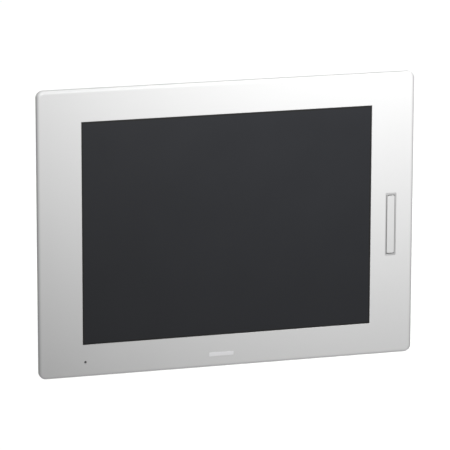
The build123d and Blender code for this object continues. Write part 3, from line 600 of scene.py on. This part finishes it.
def body_of(node):
    return frame["nodes"][node]["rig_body"]


def finished_node(node, name, width, segments=2):
    """A node's own shape with small rounded edges."""
    shape = merged_copy(node)
    round_edges(shape, width, segments=segments)
    return settle(piece_from(shape, name), body_of(node), SLOT_OF[node], [node])


def islands(node):
    """The lowest and highest corner of each separate solid of a node."""
    shape = bmesh.new()
    shape.from_mesh(frame["nodes"][node].data)
    bmesh.ops.remove_doubles(shape, verts=shape.verts, dist=0.001 * MM)
    left, boxes = set(shape.verts), []
    while left:
        found, edge_of = set(), [next(iter(left))]
        while edge_of:
            vert = edge_of.pop()
            if vert in found:
                continue
            found.add(vert)
            edge_of += [e.other_vert(vert) for e in vert.link_edges]
        left -= found
        places = [v.co for v in found]
        boxes.append((Vector([min(p[i] for p in places) for i in range(3)]),
                      Vector([max(p[i] for p in places) for i in range(3)])))
    shape.free()
    return sorted(boxes, key=lambda box: tuple(round(v, 5) for v in box[0]))


# ---------------------------------------------------------------- geometry node trees
def geometry_tree(name, inputs):
    """A geometry node tree with named inputs; returns its builder and its two ends."""
    tree = bpy.data.node_groups.new(name, "GeometryNodeTree")
    tree.interface.new_socket("Geometry", in_out="INPUT", socket_type="NodeSocketGeometry")
    for socket, kind, default in inputs:
        made = tree.interface.new_socket(socket, in_out="INPUT", socket_type=kind)
        if default is not None:
            made.default_value = default
    tree.interface.new_socket("Geometry", in_out="OUTPUT", socket_type="NodeSocketGeometry")
    build = NodeBuilder(tree)
    return build, build.add("NodeGroupInput"), build.add("NodeGroupOutput")


def end_tree(build, start, end, geometry):
    """Every tree ends the same way: real geometry with its material set."""
    real = build.add("GeometryNodeRealizeInstances", {0: geometry}).outputs[0]
    done = build.add("GeometryNodeSetMaterial", {"Geometry": real, "Material": start.outputs["Material"]})
    build.tree.links.new(done.outputs[0], end.inputs[0])
    return build.tree


def pan_head_tree():
    """A domed, cross-recessed screw at every point, its head looking along +Y."""
    build, start, end = geometry_tree("pan head screws", [
        ("Head Radius", FLOAT, 2.75 * MM), ("Head Height", FLOAT, 1.4 * MM),
        ("Shank Radius", FLOAT, 1.48 * MM), ("Shank Length", FLOAT, 8 * MM),
        ("Recess Width", FLOAT, 0.62 * MM), ("Recess Depth", FLOAT, 0.9 * MM),
        ("Material", "NodeSocketMaterial", None)])
    value = start.outputs
    blank = build.add("GeometryNodeMeshCylinder", {
        "Vertices": 32, "Side Segments": 8, "Radius": 1.0, "Depth": 1.0}).outputs["Mesh"]
    place = build.add("GeometryNodeInputPosition").outputs[0]
    axes = build.add("ShaderNodeSeparateXYZ", {0: place})
    rise = build.maths("ADD", axes.outputs["Z"], 0.5)
    shrink = build.maths("MULTIPLY_ADD", build.maths("POWER", rise, 3.0), -0.38, 1.0)
    radius = build.maths("MULTIPLY", shrink, value["Head Radius"])
    dome = build.add("ShaderNodeCombineXYZ", {
        0: build.maths("MULTIPLY", axes.outputs["X"], radius),
        1: build.maths("MULTIPLY", axes.outputs["Y"], radius),
        2: build.maths("MULTIPLY", rise, value["Head Height"])}).outputs[0]
    head = build.add("GeometryNodeSetPosition", {"Geometry": blank, "Position": dome}).outputs[0]
    arm_length = build.maths("MULTIPLY", value["Head Radius"], 1.05)
    arm_height = build.maths("MULTIPLY", value["Recess Depth"], 2.0)
    cutters = []
    for long_axis in (0, 1):
        sides = [value["Recess Width"], value["Recess Width"], arm_height]
        sides[long_axis] = arm_length
        size = build.add("ShaderNodeCombineXYZ", dict(enumerate(sides))).outputs[0]
        bar = build.add("GeometryNodeMeshCube", {"Size": size}).outputs["Mesh"]
        top = build.add("ShaderNodeCombineXYZ", {2: value["Head Height"]}).outputs[0]
        cutters.append(build.add("GeometryNodeTransform", {"Geometry": bar, "Translation": top}).outputs[0])
    cut = build.add("GeometryNodeMeshBoolean", operation="DIFFERENCE", solver="EXACT")
    build.tree.links.new(head, cut.inputs["Mesh 1"])
    for cutter in cutters:
        build.tree.links.new(cutter, cut.inputs["Mesh 2"])
    shank = build.add("GeometryNodeMeshCylinder", {
        "Vertices": 20, "Radius": value["Shank Radius"], "Depth": value["Shank Length"]}).outputs["Mesh"]
    down = build.add("ShaderNodeCombineXYZ", {
        2: build.maths("MULTIPLY", value["Shank Length"], -0.5)}).outputs[0]
    shank = build.add("GeometryNodeTransform", {"Geometry": shank, "Translation": down}).outputs[0]
    screw = build.add("GeometryNodeJoinGeometry")
    for part in (cut.outputs["Mesh"], shank):
        build.tree.links.new(part, screw.inputs[0])
    turn = build.add("FunctionNodeRandomValue", {"Seed": 7}, data_type="FLOAT")
    numbers = [s for s in turn.inputs if s.name in ("Min", "Max") and s.type == "VALUE"]
    numbers[0].default_value, numbers[1].default_value = 0.0, pi / 2
    angle = next(s for s in turn.outputs if s.type == "VALUE")
    tilt = build.add("ShaderNodeCombineXYZ", {0: -pi / 2, 1: angle}).outputs[0]
    placed = build.add("GeometryNodeInstanceOnPoints", {
        "Points": start.outputs["Geometry"], "Instance": screw.outputs[0], "Rotation": tilt}).outputs[0]
    return end_tree(build, start, end, placed)


def threaded_rod_tree():
    """A rod along Y from the origin whose radius follows a helical thread."""
    build, start, end = geometry_tree("threaded rod", [
        ("Radius", FLOAT, 2 * MM), ("Length", FLOAT, 20 * MM), ("Pitch", FLOAT, 0.7 * MM),
        ("Depth", FLOAT, 0.3 * MM), ("Material", "NodeSocketMaterial", None)])
    value = start.outputs
    rows = build.maths("MULTIPLY", build.maths("DIVIDE", value["Length"], value["Pitch"]), 6.0)
    blank = build.add("GeometryNodeMeshCylinder", {
        "Vertices": 24, "Side Segments": rows, "Radius": 1.0, "Depth": 1.0}).outputs["Mesh"]
    axes = build.add("ShaderNodeSeparateXYZ", {0: build.add("GeometryNodeInputPosition").outputs[0]})
    rise = build.maths("MULTIPLY", build.maths("ADD", axes.outputs["Z"], 0.5), value["Length"])
    turns = build.maths("DIVIDE", build.maths("ARCTAN2", axes.outputs["Y"], axes.outputs["X"]), 2 * pi)
    phase = build.maths("ADD", build.maths("DIVIDE", rise, value["Pitch"]), turns)
    tooth = build.maths("MULTIPLY", build.maths("PINGPONG", phase, 0.5), 2.0)
    radius = build.maths("SUBTRACT", value["Radius"], build.maths("MULTIPLY", tooth, value["Depth"]))
    rod = build.add("ShaderNodeCombineXYZ", {
        0: build.maths("MULTIPLY", axes.outputs["X"], radius),
        1: rise,
        2: build.maths("MULTIPLY", build.maths("MULTIPLY", axes.outputs["Y"], radius), -1.0)}).outputs[0]
    shaped = build.add("GeometryNodeSetPosition", {"Geometry": blank, "Position": rod}).outputs[0]
    return end_tree(build, start, end, shaped)


def contact_row_tree():
    """A row of thin spring contacts at every point, side by side along X."""
    build, start, end = geometry_tree("contact rows", [
        ("Count", "NodeSocketInt", 8), ("Pitch", FLOAT, 1.02 * MM), ("Width", FLOAT, 0.45 * MM),
        ("Thickness", FLOAT, 0.25 * MM), ("Length", FLOAT, 7 * MM),
        ("Material", "NodeSocketMaterial", None)])
    value = start.outputs
    gaps = build.maths("SUBTRACT", value["Count"], 1.0)
    first = build.maths("MULTIPLY", build.maths("MULTIPLY", gaps, value["Pitch"]), -0.5)
    line = build.add("GeometryNodeMeshLine", {
        "Count": value["Count"],
        "Start Location": build.add("ShaderNodeCombineXYZ", {0: first}).outputs[0],
        "Offset": build.add("ShaderNodeCombineXYZ", {0: value["Pitch"]}).outputs[0]},
        mode="OFFSET").outputs[0]
    size = build.add("ShaderNodeCombineXYZ", {
        0: value["Width"], 1: value["Thickness"], 2: value["Length"]}).outputs[0]
    strip = build.add("GeometryNodeMeshCube", {"Size": size}).outputs["Mesh"]
    row = build.add("GeometryNodeInstanceOnPoints", {"Points": line, "Instance": strip}).outputs[0]
    rows = build.add("GeometryNodeInstanceOnPoints", {
        "Points": start.outputs["Geometry"], "Instance": row}).outputs[0]
    return end_tree(build, start, end, rows)


TREES = {}


def grown(name, points, tree, inputs):
    """The plain mesh that a geometry node tree makes from a list of points."""
    mesh = bpy.data.meshes.new(name)
    mesh.from_pydata([tuple(point) for point in points], [], [])
    piece = linked(name, mesh)
    modifier = piece.modifiers.new(tree, "NODES")
    modifier.node_group = TREES[tree]
    sockets = {item.name: item.identifier for item in TREES[tree].interface.items_tree
               if item.item_type == "SOCKET" and item.in_out == "INPUT"}
    for socket, value in inputs.items():
        modifier[sockets[socket]] = value
    bake_modifiers(piece)
    return piece


def screw_set(name, node, hardware):
    """All the pan-head screws of one node."""
    boxes = islands(node)
    low, high = boxes[0]
    seats = [Vector(((a.x + b.x) / 2, b.y - hardware.head_height, (a.z + b.z) / 2)) for a, b in boxes]
    piece = grown(name, seats, "pan head screws", {
        "Head Radius": (high.x - low.x) / 2,
        "Head Height": hardware.head_height,
        "Shank Radius": (high.x - low.x) / 2 * SHANK_TO_HEAD,
        "Shank Length": high.y - hardware.head_height - low.y,
        "Recess Width": hardware.recess_width,
        "Recess Depth": hardware.recess_depth,
        "Material": MATERIALS[SLOT_OF[node]]})
    return settle(piece, MAIN_BODY, SLOT_OF[node], [node])


# ---------------------------------------------------------------- operators
class TERMINAL_OT_camera(Operator):
    """Set the camera at the terminal's usual three-quarter view from the upper left"""

    bl_idname = "terminal.camera"
    bl_label = "Camera"

    def execute(self, context):
        stage = context.scene.terminal_stage
        a, e = stage.azimuth, stage.elevation
        back = Vector((sin(a) * cos(e), -cos(a) * cos(e), sin(e)))
        right = Vector((cos(a), sin(a), 0.0))
        up = back.cross(right)
        turned = right * cos(stage.roll) + up * sin(stage.roll)
        up = back.cross(turned)
        lens = bpy.data.cameras.new("camera")
        lens.lens = stage.lens
        lens.sensor_width = SENSOR_WIDTH
        lens.clip_end = 100.0
        camera = bpy.data.objects.new("camera", lens)
        context.scene.collection.objects.link(camera)
        turn = Matrix((turned, up, back)).transposed().to_4x4()
        camera.matrix_world = Matrix.Translation(CAMERA_AIM + back * stage.distance) @ turn
        context.scene.camera = camera
        return {"FINISHED"}


class TERMINAL_OT_stage(Operator):
    """Lay the pale floor and hang the soft lights"""

    bl_idname = "terminal.stage"
    bl_label = "Stage"

    def execute(self, context):
        scene = context.scene
        stage = scene.terminal_stage
        scene.view_settings.view_transform = "Standard"
        world = bpy.data.worlds.new("even light")
        world.use_nodes = True
        build = NodeBuilder(world.node_tree)
        sky = world.node_tree.nodes["Background"]
        sky.inputs["Color"].default_value = (1.0, 1.0, 1.0, 1.0)
        seen = build.add("ShaderNodeLightPath").outputs["Is Camera Ray"]
        strength = build.span(seen, 0.0, 1.0, stage.sky_strength, stage.backdrop)
        world.node_tree.links.new(strength, sky.inputs["Strength"])
        scene.world = world
        shape = bmesh.new()
        corners = [shape.verts.new((x * FLOOR_REACH, y * FLOOR_REACH, -stage.floor_drop))
                   for x, y in ((-1, -1), (1, -1), (1, 1), (-1, 1))]
        shape.faces.new(corners)
        floor = piece_from(shape, "floor")
        floor.data.materials.append(
            grained("floor", stage.floor_colour, 0.9, 2.0, 900.0, 0.01, bump=0.02))
        key = bpy.data.lights.new("key", "AREA")
        key.energy, key.shape, key.size = stage.key_power, "SQUARE", stage.key_size
        key.spread = stage.key_spread
        above = bpy.data.lights.new("overhead", "SUN")
        above.energy, above.angle = stage.overhead, OVERHEAD_ANGLE
        self.hang(scene, key, KEY_PLACE, KEY_AIM - KEY_PLACE)
        self.hang(scene, above, Vector((0.0, 0.0, 2.0)), Vector((0.0, 0.0, -1.0)))
        return {"FINISHED"}

    def hang(self, scene, light, place, towards):
        holder = bpy.data.objects.new(light.name, light)
        holder.rotation_euler = towards.to_track_quat("-Z", "Y").to_euler()
        holder.location = place
        holder.visible_camera = False
        scene.collection.objects.link(holder)


class TERMINAL_OT_finishes(Operator):
    """Build the shared shader groups and every finish, and put them on the frame's nodes"""

    bl_idname = "terminal.finishes"
    bl_label = "Finishes"

    def execute(self, context):
        makers = (satin_grain_group, brushed_metal_group, zinc_spangle_group, settled_dust_group)
        GROUPS.update({group.name: group for group in (make() for make in makers)})
        trees = (pan_head_tree, threaded_rod_tree, contact_row_tree)
        TREES.update({tree.name: tree for tree in (make() for make in trees)})
        MATERIALS.update(build_materials(context.scene))
        for node, thing in frame["nodes"].items():
            if not thing.material_slots:
                thing.data.materials.append(MATERIALS[SLOT_OF[node]])
            for slot in thing.material_slots:
                slot.material = MATERIALS[SLOT_OF[node]]
        return {"FINISHED"}


class TERMINAL_OT_bezel(Operator):
    """Finish the bezel: soft window edge and small rounded edges at the trough and rim"""

    bl_idname = "terminal.bezel"
    bl_label = "Front bezel"

    def execute(self, context):
        settings = context.scene.terminal_bezel
        low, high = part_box("front_bezel")
        film_low, film_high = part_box("touch_film")
        reach_x, reach_z = film_high.x + 1 * MM, film_high.z + 1 * MM
        skin = 0.05 * MM

        def at_front(middle):
            return abs(middle.y - low.y) < skin

        def round_window(middle):
            return at_front(middle) and abs(middle.x) < reach_x and abs(middle.z) < reach_z

        def other_front(middle):
            return at_front(middle) and not round_window(middle)

        shape = merged_copy("front_bezel")
        round_edges(shape, settings.window_edge, round_window, segments=5)
        round_edges(shape, settings.small_edge, other_front, segments=3)
        settle(piece_from(shape, "bezel"), MAIN_BODY, "bezel_paint", ["front_bezel"])
        return {"FINISHED"}


class TERMINAL_OT_touch_sheet(Operator):
    """Finish the touch sheet with a slightly rounded rim"""

    bl_idname = "terminal.touch_sheet"
    bl_label = "Touch sheet"

    def execute(self, context):
        finished_node("touch_film", "touch_sheet", 0.08 * MM)
        return {"FINISHED"}


class TERMINAL_OT_service_door(Operator):
    """Finish the service door over the front sockets, and its seal"""

    bl_idname = "terminal.service_door"
    bl_label = "Service door"

    def execute(self, context):
        finished_node("usb_door", "service_door", 0.3 * MM, segments=3)
        finished_node("usb_door_seal", "service_door_seal", 0.1 * MM)
        return {"FINISHED"}


class TERMINAL_OT_lamp_and_badge(Operator):
    """Finish the status lamp's lens and the blank badge"""

    bl_idname = "terminal.lamp_and_badge"
    bl_label = "Lamp and badge"

    def execute(self, context):
        finished_node("status_lens", "lamp", 0.2 * MM, segments=3)
        finished_node("blank_badge", "badge", 0.15 * MM, segments=3)
        return {"FINISHED"}


class TERMINAL_OT_gasket(Operator):
    """Finish the rubber ring between bezel and cabinet"""

    bl_idname = "terminal.gasket"
    bl_label = "Gasket"

    def execute(self, context):
        finished_node("panel_gasket", "gasket", 0.3 * MM, segments=3)
        return {"FINISHED"}


class TERMINAL_OT_housing(Operator):
    """Finish the pressed steel housing and the vented rear cover with its label"""

    bl_idname = "terminal.housing"
    bl_label = "Housing and rear cover"

    def execute(self, context):
        finished_node("rear_chassis", "housing", 0.2 * MM)
        finished_node("rear_cover", "vented_cover", 0.2 * MM)
        finished_node("rating_plate", "label", 0.08 * MM)
        finished_node("card_door", "card_flap", 0.15 * MM)
        return {"FINISHED"}


class TERMINAL_OT_clamps(Operator):
    """Make the six swing-out clamps: cast levers on threaded screws"""

    bl_idname = "terminal.clamps"
    bl_label = "Panel clamps"

    def execute(self, context):
        hardware = context.scene.terminal_hardware
        for side in SIDES:
            finished_node(f"clamp_lever_{side}", f"lever_{side}", 0.25 * MM)
            self.screw(side, hardware)
        return {"FINISHED"}

    def screw(self, side, hardware):
        """The node's own head and collars, its shank thinned to the core inside a threaded rod."""
        node = f"clamp_screw_{side}"
        low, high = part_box(node)
        x, z = (low.x + high.x) / 2, (low.z + high.z) / 2
        head_from = high.y - CLAMP_HEAD_HEIGHT
        thread_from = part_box(f"clamp_lever_{side}")[1].y + CLAMP_COLLAR_HEIGHT
        rod = grown(f"thread_{side}", [(0, 0, 0)], "threaded rod", {
            "Radius": CLAMP_SCREW_RADIUS, "Length": head_from - thread_from - 0.2 * MM,
            "Pitch": hardware.thread_pitch, "Depth": hardware.thread_depth,
            "Material": MATERIALS[SLOT_OF[node]]})
        shape = bmesh.new()
        shape.from_mesh(rod.data)
        bmesh.ops.translate(shape, verts=shape.verts, vec=(x, thread_from, z))
        bpy.data.objects.remove(rod)
        plain = bmesh.new()
        plain.from_mesh(frame["nodes"][node].data)
        bmesh.ops.remove_doubles(plain, verts=plain.verts, dist=0.001 * MM)
        for vert in plain.verts:
            offset = Vector((vert.co.x - x, 0.0, vert.co.z - z))
            under_thread = thread_from - 0.01 * MM <= vert.co.y <= head_from + 1.1 * MM
            if under_thread and offset.length < CLAMP_SCREW_RADIUS + 0.05 * MM:
                vert.co.x = x + offset.x * CLAMP_CORE
                vert.co.z = z + offset.z * CLAMP_CORE
        held = bpy.data.meshes.new("plain screw")
        plain.to_mesh(held)
        plain.free()
        shape.from_mesh(held)
        settle(piece_from(shape, f"screw_{side}"), body_of(node), SLOT_OF[node], [node])


class TERMINAL_OT_screws(Operator):
    """Set the pan-head screws of the housing and the rear cover"""

    bl_idname = "terminal.screws"
    bl_label = "Screws"

    def execute(self, context):
        hardware = context.scene.terminal_hardware
        screw_set("housing_screws", "chassis_screws", hardware)
        screw_set("rear_cover_screws", "cover_screws", hardware)
        return {"FINISHED"}


class TERMINAL_OT_sockets(Operator):
    """Finish the sockets on the lower edge and put the spring contacts in the network pair"""

    bl_idname = "terminal.sockets"
    bl_label = "Sockets"

    def execute(self, context):
        hardware = context.scene.terminal_hardware
        finished_node("power_socket", "power_header", 0.2 * MM)
        finished_node("network_sockets", "network_jacks", 0.15 * MM)
        finished_node("serial_shell", "serial_connector", 0.15 * MM)
        finished_node("earth_stud", "earthing_stud", 0.12 * MM)
        places = [
            ((low.x + high.x) / 2, low.y + CONTACT_SETBACK, low.z + CONTACT_FOOT + CONTACT_LENGTH / 2)
            for low, high in islands("network_sockets")]
        contacts = grown("network_contacts", places, "contact rows", {
            "Count": hardware.contact_count, "Pitch": 1.02 * MM, "Width": 0.45 * MM,
            "Thickness": 0.25 * MM, "Length": CONTACT_LENGTH, "Material": MATERIALS["spacer_brass"]})
        settle(contacts, MAIN_BODY, "spacer_brass", [])
        return {"FINISHED"}


OPERATORS = (
    TERMINAL_OT_camera, TERMINAL_OT_finishes, TERMINAL_OT_stage, TERMINAL_OT_bezel,
    TERMINAL_OT_touch_sheet, TERMINAL_OT_service_door, TERMINAL_OT_lamp_and_badge,
    TERMINAL_OT_gasket, TERMINAL_OT_housing, TERMINAL_OT_clamps, TERMINAL_OT_screws,
    TERMINAL_OT_sockets,
)


class TERMINAL_PT_sidebar(Panel):
    """Settings and steps of the terminal"""

    bl_idname = "TERMINAL_PT_sidebar"
    bl_label = "Operator terminal"
    bl_space_type = "VIEW_3D"
    bl_region_type = "UI"
    bl_category = "Terminal"

    def draw(self, context):
        for settings in SETTINGS:
            group = getattr(context.scene, settings)
            box = self.layout.box()
            for key in group.__annotations__:
                box.prop(group, key)
        for operator in OPERATORS:
            self.layout.operator(operator.bl_idname)


SETTINGS = {
    "terminal_stage": TerminalStage,
    "terminal_bezel": TerminalBezel,
    "terminal_screen": TerminalScreen,
    "terminal_hardware": TerminalHardware,
}
CLASSES = (*SETTINGS.values(), *OPERATORS, TERMINAL_PT_sidebar)


def register():
    for thing in CLASSES:
        bpy.utils.register_class(thing)
    for name, group in SETTINGS.items():
        setattr(bpy.types.Scene, name, PointerProperty(type=group))


def unregister():
    for name in SETTINGS:
        delattr(bpy.types.Scene, name)
    for thing in reversed(CLASSES):
        bpy.utils.unregister_class(thing)


def main():
    register()
    for operator in OPERATORS:
        group, name = operator.bl_idname.split(".")
        getattr(getattr(bpy.ops, group), name)()


if __name__ == "__main__":
    main()
